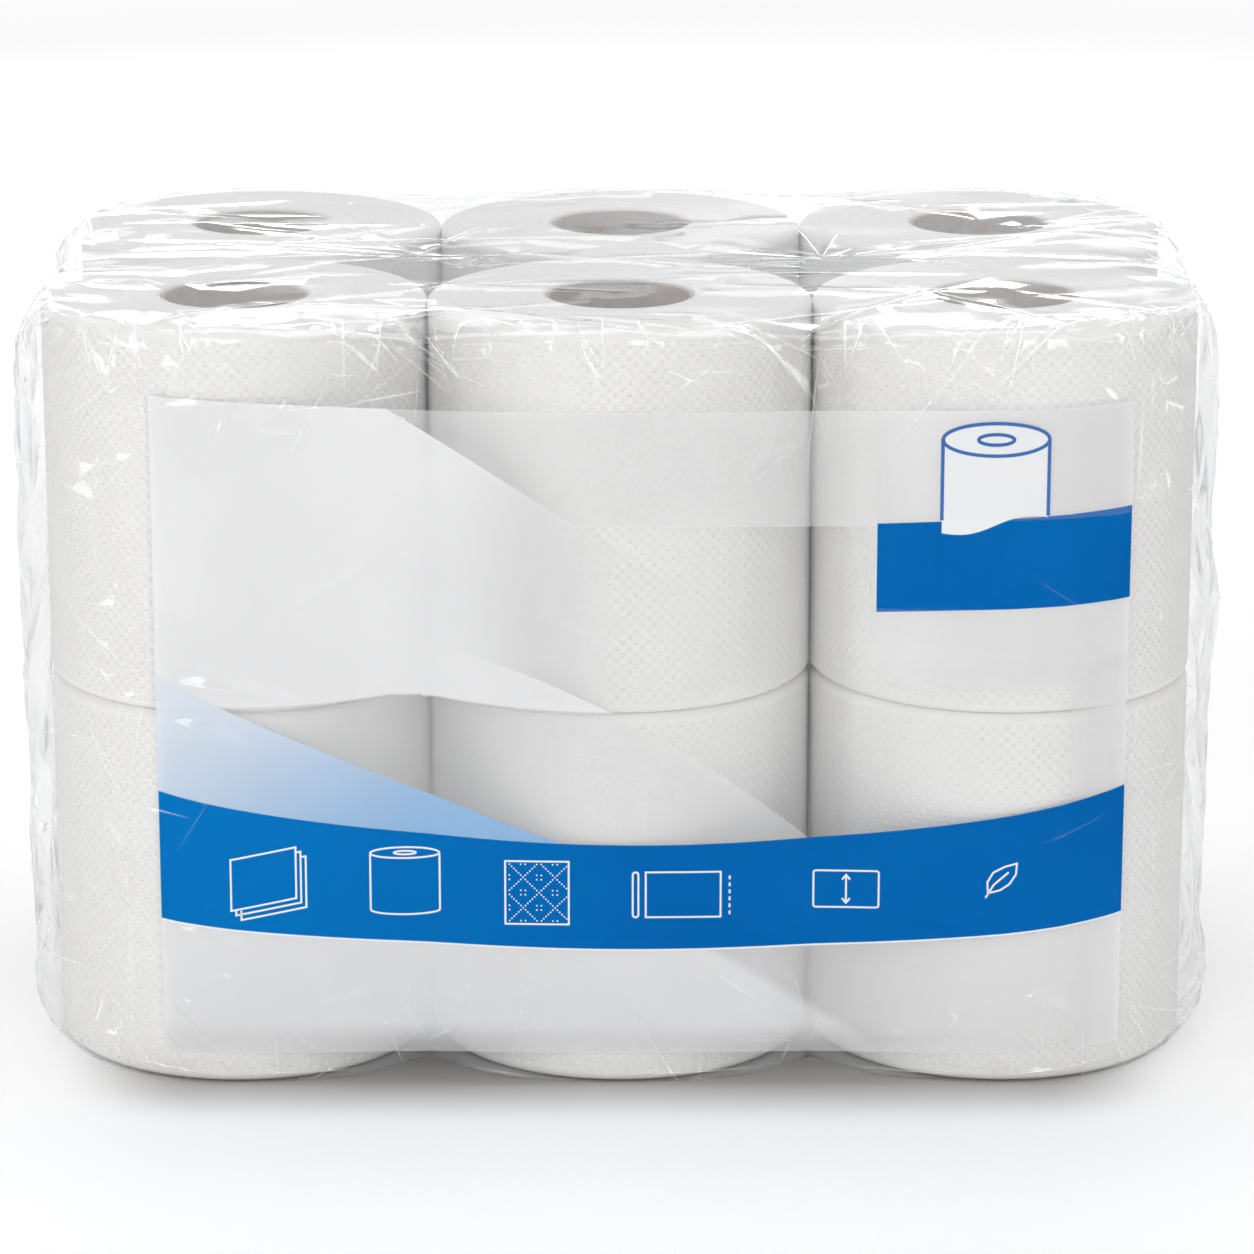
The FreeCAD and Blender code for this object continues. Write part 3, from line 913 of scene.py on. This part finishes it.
# The outline signs on the band: sheets, roll, embossed square, sheet's length, sheet's width, leaf
def bandSigns():
    plan = signPlan
    rings = [
        [(-0.0950, 0.0456), (-0.0790, 0.0489), (-0.0790, 0.0620), (-0.0950, 0.0587)],
        oval(-0.0523, 0.0602, 0.0085, 0.0014), oval(-0.0523, 0.0602, 0.0027, 0.00045), box(*plan["square"]),
        box(0.0068, 0.0440, 0.0252, 0.0556), box(0.0036, 0.0440, 0.0050, 0.0556, 0.00069),
        box(0.0480, 0.0462, 0.0640, 0.0556, 0.0006),
        [(0.0908, 0.0502), (0.0906, 0.0530), (0.0920, 0.0555), (0.0948, 0.0570), (0.0978, 0.0578),
         (0.0976, 0.0550), (0.0960, 0.0525), (0.0938, 0.0510)],
    ]
    tracks = [
        [(-0.0608, 0.0600), (-0.0608, 0.0457)] + oval(-0.0523, 0.0457, 0.0085, 0.0014, 180) + [(-0.0438, 0.0600)],
        [(0.0560, 0.0478), (0.0560, 0.0540)], [(0.0902, 0.0490), (0.0922, 0.0524), (0.0958, 0.0556)],
    ]
    tracks += [[(0.0274, 0.0446 + 0.0018 * i), (0.0274, 0.0456 + 0.0018 * i)] for i in range(6)]
    for tip, barb in ((0.0473, 0.0485), (0.0545, 0.0533)):
        tracks.append([(0.0550, barb), (0.0560, tip), (0.0570, barb)])
    for step in plan["sheetSteps"]:  # the sheets behind show along two sides
        drop = step * 0.95
        tracks.append([(step - 0.0950, 0.0457), (step - 0.0950, 0.0456 - drop), (step - 0.0790, 0.0489 - drop),
                       (step - 0.0790, 0.0620 - drop), (step - 0.0801, 0.0618 - drop)])
    lines = [(plan["line"], True, ring) for ring in rings] + [(plan["line"], False, track) for track in tracks]
    half, period, pitch = plan["dot"] / 2, plan["dotPeriod"], plan["dotPitch"]
    for i in range(1, plan["dotCounts"][0] + 1):
        for j in range(1, plan["dotCounts"][1] + 1):
            add, take = (i + j) % period, (i - j) % period  # slants that cross, and a cluster between them
            cluster = abs(add - 7) + abs(take - 7) == 2 and abs(add - 7) != 1
            if not (add and take) or cluster:
                u, v = plan["square"][0] + 0.00048 + pitch * i, plan["square"][1] + 0.00030 + pitch * j
                lines.append((plan["dot"], False, [(u - half, v), (u + half, v)]))
    return lines


def topSigns():
    wide, (x, z), (across, up) = signPlan["topLine"], signPlan["topRoll"], signPlan["topOval"]
    sides = zip((x - across, x + across), signPlan["topFeet"])
    return ([(wide, True, oval(x, z, across, up, count=40)), (wide, True, oval(x, z, 0.0043, 0.0013))]
            + [(wide, False, [(side, z), (side, foot)]) for side, foot in sides])


# The white of the roll sign: a wavy foot under half an oval
def bareFoot(x):
    along = x - signPlan["bareLeft"]
    return 0.1413 + along * 0.15 - 0.0012 * math.sin(along / signPlan["bareWidth"] * 2 * math.pi)


def bareHead(x):
    (middle, foot), (across, up) = signPlan["topRoll"], signPlan["topOval"]
    return foot + up * math.sqrt(max(0.0, 1 - ((x - middle) / across) ** 2))


# Inks and film

# A solid ink whose colour drifts a little from place to place
def inkFinish(name, colour, shade):
    f = Finish(name)
    place = f.place()
    drift = f.noise(place, 26, 2.0, 0.5)
    x, y, z = f.split(place)
    tint = f.blend(x.rise(-0.115, 0.03) * 0.8 + drift.rise(0.3, 0.7) * 0.2, colour + (1,), shade + (1,))
    return f.show(f.skin(tint, 0.55, 0.0))


# Thin ink that lets what is behind it through
def showSheer(f, colour, cover):
    return f.show(f.mixed(cover, f.bare(), f.skin(colour, 0.6, 0.1)))


def sweepFinish():
    f = Finish("sweepInk")
    x, y, z = f.split(f.place())
    fade = (slope(x, (-0.112, 0.0), (-0.02, 1.0)) * 0.6 + (0.108 - z) * 12).rise(0.0, 1.0)
    colour = f.blend(fade, (0.86, 0.92, 0.99, 1), (0.29, 0.53, 0.84, 1))
    return showSheer(f, colour, 0.68 + f.noise(f.place(), 30, 2.0, 0.5) * 0.2 + fade * 0.1)


# Zones of the milky panel: where they lie, and how much of what is behind they cover

milkPlan = {
    "crisp": 0.0002,  # half the softness of a printed edge
    "diagonal": ((-0.0529, 0.1701), (-0.0024, 0.1384)),
    "curve": ((-0.048, 0.114), (0.0446, 0.0658)), "bulge": 3.0,
    "rollMiddle": -0.095, "rollSide": -0.0477,  # the left roll, whose foot bounds the upper zones
    "jointLeft": (0.0973, 0.0031), "jointMiddle": (0.0960, 0.0040),  # height of the joint and how far it curves up
    "fade": (-0.044, 0.018), "fadeShare": 0.92,
    "stripFoot": (0.1424, 0.1428), "blockSide": (0.050, 0.075), "blockFoot": (0.095, 0.112),
    "edge": (0.103, 0.120), "footRise": (0.009, 0.017),
    "leftCover": 0.88, "betweenCover": 0.32, "stripCover": 0.36, "blockCover": 0.7, "edgeCover": 0.6,
    "leastCover": 0.07, "footCover": 0.84, "cloudScale": 24, "cloudShare": 0.12,
    "tones": ((0.88, 0.882, 0.89, 1), (0.93, 0.93, 0.932, 1)), "footTone": (0.96, 0.96, 0.96, 1),
}


def panelFinish():
    plan = milkPlan
    f = Finish("milkyPanel")
    place = f.place()
    x, y, z = f.split(place)
    crisp = plan["crisp"]
    diagonal = (z - slope(x, *plan["diagonal"])).rise(-crisp, crisp)
    curve = slope(x, *plan["curve"]) + (x - plan["curve"][0][0]) * (plan["curve"][1][0] - x) * plan["bulge"]
    beyond = (z - curve).rise(-crisp, crisp)
    (leftFoot, leftRise), (middleFoot, middleRise) = plan["jointLeft"], plan["jointMiddle"]
    fromMiddle = x - plan["rollMiddle"]
    leftRoll = leftFoot + (fromMiddle * fromMiddle * 2.0).lesser(leftRise)
    middleRoll = middleFoot + (x * x * 2.0).lesser(middleRise)
    joint = leftRoll * x.under(plan["rollSide"]) + middleRoll * x.over(plan["rollSide"])
    layer = (z - joint).rise(-crisp * 3, crisp * 3)
    fading = 1 - x.rise(*plan["fade"]) * plan["fadeShare"]
    leftMilk = (1 - diagonal) * layer * fading.larger(1 - beyond)
    betweenMilk = (1 - beyond) * (1 - layer) * plan["betweenCover"]
    strip = z.rise(*plan["stripFoot"]) * diagonal
    rightBlock = x.rise(*plan["blockSide"]) * z.rise(*plan["blockFoot"])
    foot = 1 - (z - bandFoot(x)).rise(-crisp, crisp)
    footMilk = plan["footCover"] - (x + z * 1.6 - 0.078).rise(-0.002, 0.006) * 0.26 - x.rise(0.030, 0.046) * 0.12
    footMilk = footMilk * (0.5 + z.rise(*plan["footRise"]) * 0.5)
    milk = (leftMilk * plan["leftCover"]).larger(strip * plan["stripCover"])
    milk = milk.larger(rightBlock * plan["blockCover"]).larger(x.rise(*plan["edge"]) * plan["edgeCover"])
    milk = milk.larger(foot * footMilk).larger(betweenMilk).larger(plan["leastCover"])
    cloud = f.noise(place, plan["cloudScale"], 2.0, 0.5)
    cover = milk + (cloud - 0.5) * plan["cloudShare"]
    colour = f.blend(cloud, *plan["tones"])
    colour = f.blend(foot, colour, f.blend(x.rise(0.03, 0.05), plan["tones"][0], plan["footTone"]))
    return showSheer(f, colour, cover)


filmLook = {
    "ior": 1.6, "sharpRough": 0.07, "broadRough": 0.30,
    "crestMirror": 0.30, "crestWhiteningAndPaintedLine": 0.3,  # what a crease's crest adds to the gloss, and to the haze as a white line that is partly the sheet's whitening at a fold, partly a painted highlight
    "veil": 0.008, "seamHazeAndPaintedLight": 0.05,  # haze of the plain sheet, and over the left seam near the top, where the sheet is slack between two rolls and the haze also lifts the seam's shade as painted light
    "inkMatt": 0.94,  # how much less it mirrors over solid ink
    "bannerSpan": (0.1224, 0.1445),
}


def filmFinish():
    look, plan = filmLook, printPlan
    f = Finish("clearFilm")
    x, y, z = f.split(f.place())
    crest = f.kept("crest", "Fac")
    crisp = milkPlan["crisp"]
    band = (z - bandFoot(x)).rise(-crisp, crisp) * (1 - (z - bandHead(x)).rise(-crisp, crisp))
    banner = z.over(look["bannerSpan"][0]) * z.under(look["bannerSpan"][1]) * x.over(plan["bannerLeft"])
    solid = band.larger(banner) * x.over(plan["left"]) * x.under(plan["right"]) * y.under(-0.03)
    # Over the left seam near the top the haze is raised: partly the slack sheet's haze, partly painted light lifting
    # the shaded gap
    gap = (1 - abs(x - filmSheet["seams"][0]).rise(0.0015, 0.007)) * y.under(0.0) * z.rise(0.168, 0.175)
    # Along the crests the haze turns white: partly the sheet's whitening at a fold, partly a painted highlight line
    veil = (look["veil"] + gap * look["seamHazeAndPaintedLight"]) * (1 - solid) + crest * look["crestWhiteningAndPaintedLine"]
    body = f.mixed(veil, f.bare(), f.skin((0.93, 0.93, 0.94, 1), 0.4, 0.3))
    sharp = f.add("ShaderNodeBsdfGlossy", values={"Color": (0.90, 0.91, 0.93, 1), "Roughness": look["sharpRough"]})
    broad = f.add("ShaderNodeBsdfGlossy", values={"Color": (0.95, 0.95, 0.96, 1), "Roughness": look["broadRough"]})
    gloss = f.mixed(crest.rise(0.0, 0.3), sharp, broad)
    behind = f.add("ShaderNodeNewGeometry", output="Backfacing")  # a sheet mirrors the same from both sides
    mirror = (f.add("ShaderNodeFresnel", values={"IOR": look["ior"]}) * (1 - behind)
              + f.add("ShaderNodeFresnel", values={"IOR": 1 / look["ior"]}) * behind)
    mirror = mirror * (1 - solid * look["inkMatt"]) + crest * look["crestMirror"]
    return f.show(f.mixed(mirror, body, gloss))


# Set: floor, lamps and camera

studio = {
    "distance": 1.297, "elevation": 15.36, "aim": (0.0022, 0.0, 0.0914), "focal": 142.05,
    "world": 0.44, "shine": 1.6, "dim": 0.78, "patchScale": 3.4, "patchEdge": (0.44, 0.60),
    "floorSize": 14.0, "floorTone": 0.96, "paintedShadowTone": (0.50, 0.49, 0.48, 1),
    "packHalf": (0.102, 0.086), "paintedShadowReach": (0.005, 0.040),  # painted shadow: the floor's colour is darker close round the pack
    "glowNear": 0.12, "glowFar": 0.66, "glowReach": (0.35, 2.8),
    "lamps": [  # place, height aimed at, size, power; a gap is left straight ahead and straight behind
        ("frontLeft", (-0.50, -1.20, 0.66), 0.1, (0.62, 0.28), 2.1),
        ("frontRight", (0.44, -1.22, 0.62), 0.1, (0.44, 0.28), 1.5),
        ("leftBox", (-1.2, -0.6, 0.44), 0.25, (0.20, 0.84), 2.1),
        ("rightStrip", (1.25, -0.55, 0.44), 0.25, (0.08, 0.84), 1.1),
        ("backLeft", (-0.42, 1.30, 0.70), 0.15, (0.60, 0.22), 2.7),
        ("backRight", (0.40, 1.30, 0.76), 0.15, (0.60, 0.22), 2.7),
        ("topBox", (0.0, 0.15, 1.50), 0.1, (1.30, 0.80), 6.6),
        ("lowRight", (0.50, -1.25, 0.30), 0.1, (0.22, 0.42), 1.00),
        ("lowLeft", (-0.56, -1.25, 0.28), 0.1, (0.26, 0.38), 1.10),
    ],
}


def makeFloor():
    bpy.ops.mesh.primitive_plane_add(size=studio["floorSize"], location=(0, 0, 0))
    floor = bpy.context.object
    floor.name = "studioFloor"
    f = Finish("paleFloorPaintedShadow")
    x, y, z = f.split(f.place())
    away = (x * x + y * y).root()
    halfWidth, halfDepth = studio["packHalf"]
    besideX, besideY = (abs(x) - halfWidth).larger(0.0), (abs(y) - halfDepth).larger(0.0)
    # Painted shadow: close round the pack's footprint the floor turns a darker grey, and its glow to the camera fades
    # out there
    beside = (besideX * besideX + besideY * besideY).root().rise(*studio["paintedShadowReach"])
    plain = f.add("ShaderNodeBsdfDiffuse", values={"Color": grey(studio["floorTone"])})
    paintedShadowFloor = f.add("ShaderNodeBsdfDiffuse", values={"Color": studio["paintedShadowTone"]})
    near, far = studio["glowNear"], studio["glowFar"]
    lift = (away.rise(*studio["glowReach"], far - near) + near) * beside
    direct, glossy = f.rays("Is Camera Ray", "Is Glossy Ray")
    none, lit = (f.add("ShaderNodeEmission", values={"Color": grey(v), "Strength": v}) for v in (0.0, 1.0))
    glow = f.mixed(lift * (direct + glossy).lesser(1.0), none, lit)
    whole = f.add("ShaderNodeAddShader", values=[f.mixed(beside, paintedShadowFloor, plain), glow])
    floor.data.materials.append(f.show(whole))


# Even fill, white to the camera, and bright and dim patches for what gloss reflects
def makeWorld():
    world = bpy.data.worlds.new("softWorld")
    world.use_nodes = True
    bpy.context.scene.world = world
    world.node_tree.nodes.clear()
    f = Finish.__new__(Finish)
    f.tree = world.node_tree
    out = f.tree.nodes.new("ShaderNodeOutputWorld")
    direct, glossy, through = f.rays("Is Camera Ray", "Is Glossy Ray", "Is Transmission Ray")
    toward = f.add("ShaderNodeTexCoord", output="Generated")
    patch = f.noise(toward, studio["patchScale"], 1.0, 0.5).rise(*studio["patchEdge"])
    shine = patch * (studio["shine"] - studio["dim"]) + studio["dim"]
    seen = (direct + through).lesser(1.0)
    level = shine * glossy + (1 - glossy) * studio["world"]
    level = level * (1 - seen) + seen
    glow = f.add("ShaderNodeBackground", values={"Color": grey(1.0), "Strength": level})
    f.tree.links.new(glow.socket, out.inputs["Surface"])


def makeLamps():
    for name, place, height, size, power in studio["lamps"]:
        lamp = bpy.data.lights.new(name, "AREA")
        lamp.shape = "RECTANGLE"
        lamp.size, lamp.size_y = size
        lamp.energy = power
        holder = bpy.data.objects.new(name, lamp)
        bpy.context.collection.objects.link(holder)
        holder.location = place
        holder.rotation_euler = (Vector((0, 0, height)) - Vector(place)).to_track_quat("-Z", "Y").to_euler()


def makeCamera():
    lens = bpy.data.cameras.new("viewCamera")
    lens.lens = studio["focal"]
    lens.sensor_width = 36
    lens.clip_end = 50
    camera = bpy.data.objects.new("viewCamera", lens)
    bpy.context.collection.objects.link(camera)
    rise = math.radians(studio["elevation"])
    aim = Vector(studio["aim"])
    camera.location = aim + Vector((0, -math.cos(rise), math.sin(rise))) * studio["distance"]
    camera.rotation_euler = (aim - camera.location).to_track_quat("-Z", "Y").to_euler()
    bpy.context.scene.camera = camera


makeCamera()
makeWorld()
makeLamps()
makeFloor()
print("set made")

rollNodes = sorted(n for n in frame["nodes"] if n.startswith("roll_"))
low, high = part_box(rollNodes[0])
rollRadius, rollHeight = (high.x - low.x) / 2, high.z - low.z
coreLow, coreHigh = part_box(rollNodes[0].replace("roll_", "core_"))
coreRadius, coreHeight = (coreHigh.x - coreLow.x) / 2, coreHigh.z - coreLow.z

paperMaster = makePaper(rollRadius, rollHeight, coreRadius + paperRoll["coreGap"])
coreMaster = makeCore(coreRadius, coreHeight)
paper, board = paperFinish(), boardFinish()
for node in rollNodes:
    low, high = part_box(node)
    centre = (low + high) / 2
    foot = (centre.x, centre.y, low.z)
    piece = settle(paperMaster, node.replace("roll_", "paper_"), foot, node.endswith("_top"), rollHeight)
    ownPlace(piece, foot)
    dress(piece, paper, "tissue", node)
    coreNode = node.replace("roll_", "core_")
    tube = copied(coreMaster, node.replace("roll_", "tube_"))
    movePoints(tube, points(tube) + np.array((centre.x, centre.y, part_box(coreNode)[0].z)))
    ownPlace(tube, foot)
    dress(tube, board, "core_board", coreNode)
bpy.data.objects.remove(paperMaster)
bpy.data.objects.remove(coreMaster)
print("rolls made")

film = filmBase()
movePoints(film, archedFoot(points(film)))
basePlace, baseNormals, baseTris = points(film), pointNormals(film), corners(film)
baseTree = BVHTree.FromPolygons([Vector(p) for p in basePlace], baseTris.tolist())
across, above = basePlace[:, 0], basePlace[:, 2]
towardX, towardY, towardZ = baseNormals.T
besideLabel = (towardY < 0) & ((across < -0.1105) | (across > 0.1235))
onEnd = ((np.abs(towardX) > 0.5) | besideLabel) & (np.abs(towardZ) < 0.8)
onFoot = towardZ < -0.5
onFront = (towardY < -0.5) & ~onEnd & ~onFoot
onLabel = onFront & (above < 0.168) & (np.abs(across - 0.006) < 0.112)
regions = {
    "end": onEnd, "foot": onFoot, "lid": towardZ > 0.75, "rim": (above > 0.178) & (towardZ < 0.95),
    "topBand": onFront & (above > 0.170), "lowEdge": (above < 0.022) & ~onFoot,
    "back": (towardY > 0.5) & ~onEnd & ~onFoot,
}

ends = [Facets(basePlace, baseNormals, onEnd, side) for side in (-1, 1)]
creases = ends[0].creases + ends[1].creases + softFolds(basePlace, baseNormals)
creases += linked(basePlace, baseNormals, regions["back"], *filmSheet["links"])
for region, *row in filmSheet["loose"]:
    creases += scattered(basePlace, baseNormals, regions[region], *row)
for seam in filmSheet["seams"]:
    for y, z, *row in filmSheet["fans"]:
        creases += fan(basePlace, baseNormals, (seam, y, z), *row)
place, tris = cutCreases(basePlace, baseTris, creases)
print("film cut to", len(tris), "faces along", len(creases), "creases")
filmMesh(film, place, tris)
pickOnly(film)
bpy.ops.object.shade_smooth()
normals = pointNormals(film)
slack = np.zeros(len(place))
slackLift = chance.uniform(0, filmSheet["slackLift"], len(basePlace))
slack[:len(basePlace)] = np.where(onLabel | onFoot, 0, slackLift) * np.where(regions["lid"], filmSheet["lidSlack"], 1)
lift, crest = raiseCreases(place, creases)
stand = np.maximum(lift, slack) + ends[0].lift(place) + ends[1].lift(place)
place = place + normals * stand[:, None]
place[:, 2] = np.maximum(place[:, 2], filmSheet["clearOfFloor"])
movePoints(film, place)
attribute = film.data.attributes.new("crest", "FLOAT", "POINT")
attribute.data.foreach_set("value", crest)
dress(film, filmFinish(), "clear_film", "film_wrap")
print("film made")

plan, sign = printPlan, signPlan
left, right = plan["left"], plan["right"]
blue = inkFinish("blueInk", (0.0006, 0.180, 0.55), (0.0004, 0.128, 0.45))
white = inkFinish("whiteInk", (0.90, 0.905, 0.915), (0.87, 0.875, 0.885))
for name, start, end, foot, head, depth, finish, slot, *nodes in (
        ("milkyPanel", left, right, lambda x: plan["foot"], panelTop, "panelDepth",
         panelFinish(), "panel_print", "print_panel"),
        ("paleSweep", left, plan["sweepTip"], bandHead, sweepHead, "sweepDepth",
         sweepFinish(), "sweep_print", "print_sweep"),
        ("blueBand", left, right, bandFoot, bandHead, "bandDepth", blue, "blue_print", "print_band"),
        ("blueBanner", plan["bannerLeft"], right, lambda x: bannerEdge(x, plan["bannerFoot"]),
         lambda x: bannerEdge(x, plan["bannerHead"]), "bandDepth", blue, "blue_print", "print_banner"),
        ("whiteRollSign", sign["bareLeft"], 0.1035, bareFoot, bareHead, "signDepth", white, "panel_print")):
    dress(inkSheet(name, baseTree, start, end, foot, head, plan[depth]), finish, slot, *nodes)
places = [left + (right - left) * i / sign["edgeSteps"] for i in range(sign["edgeSteps"] + 1)]
edge = [(sign["edgeLine"], False, [(x, bandFoot(x)) for x in places])]
for name, lines, finish, slot in (("bandSigns", bandSigns(), white, "panel_print"),
                                  ("rollSign", topSigns(), blue, "blue_print"),
                                  ("bandEdging", edge, white, "panel_print")):
    dress(strokes(name, baseTree, lines, plan["markDepth"]), finish, slot)
print("print made")
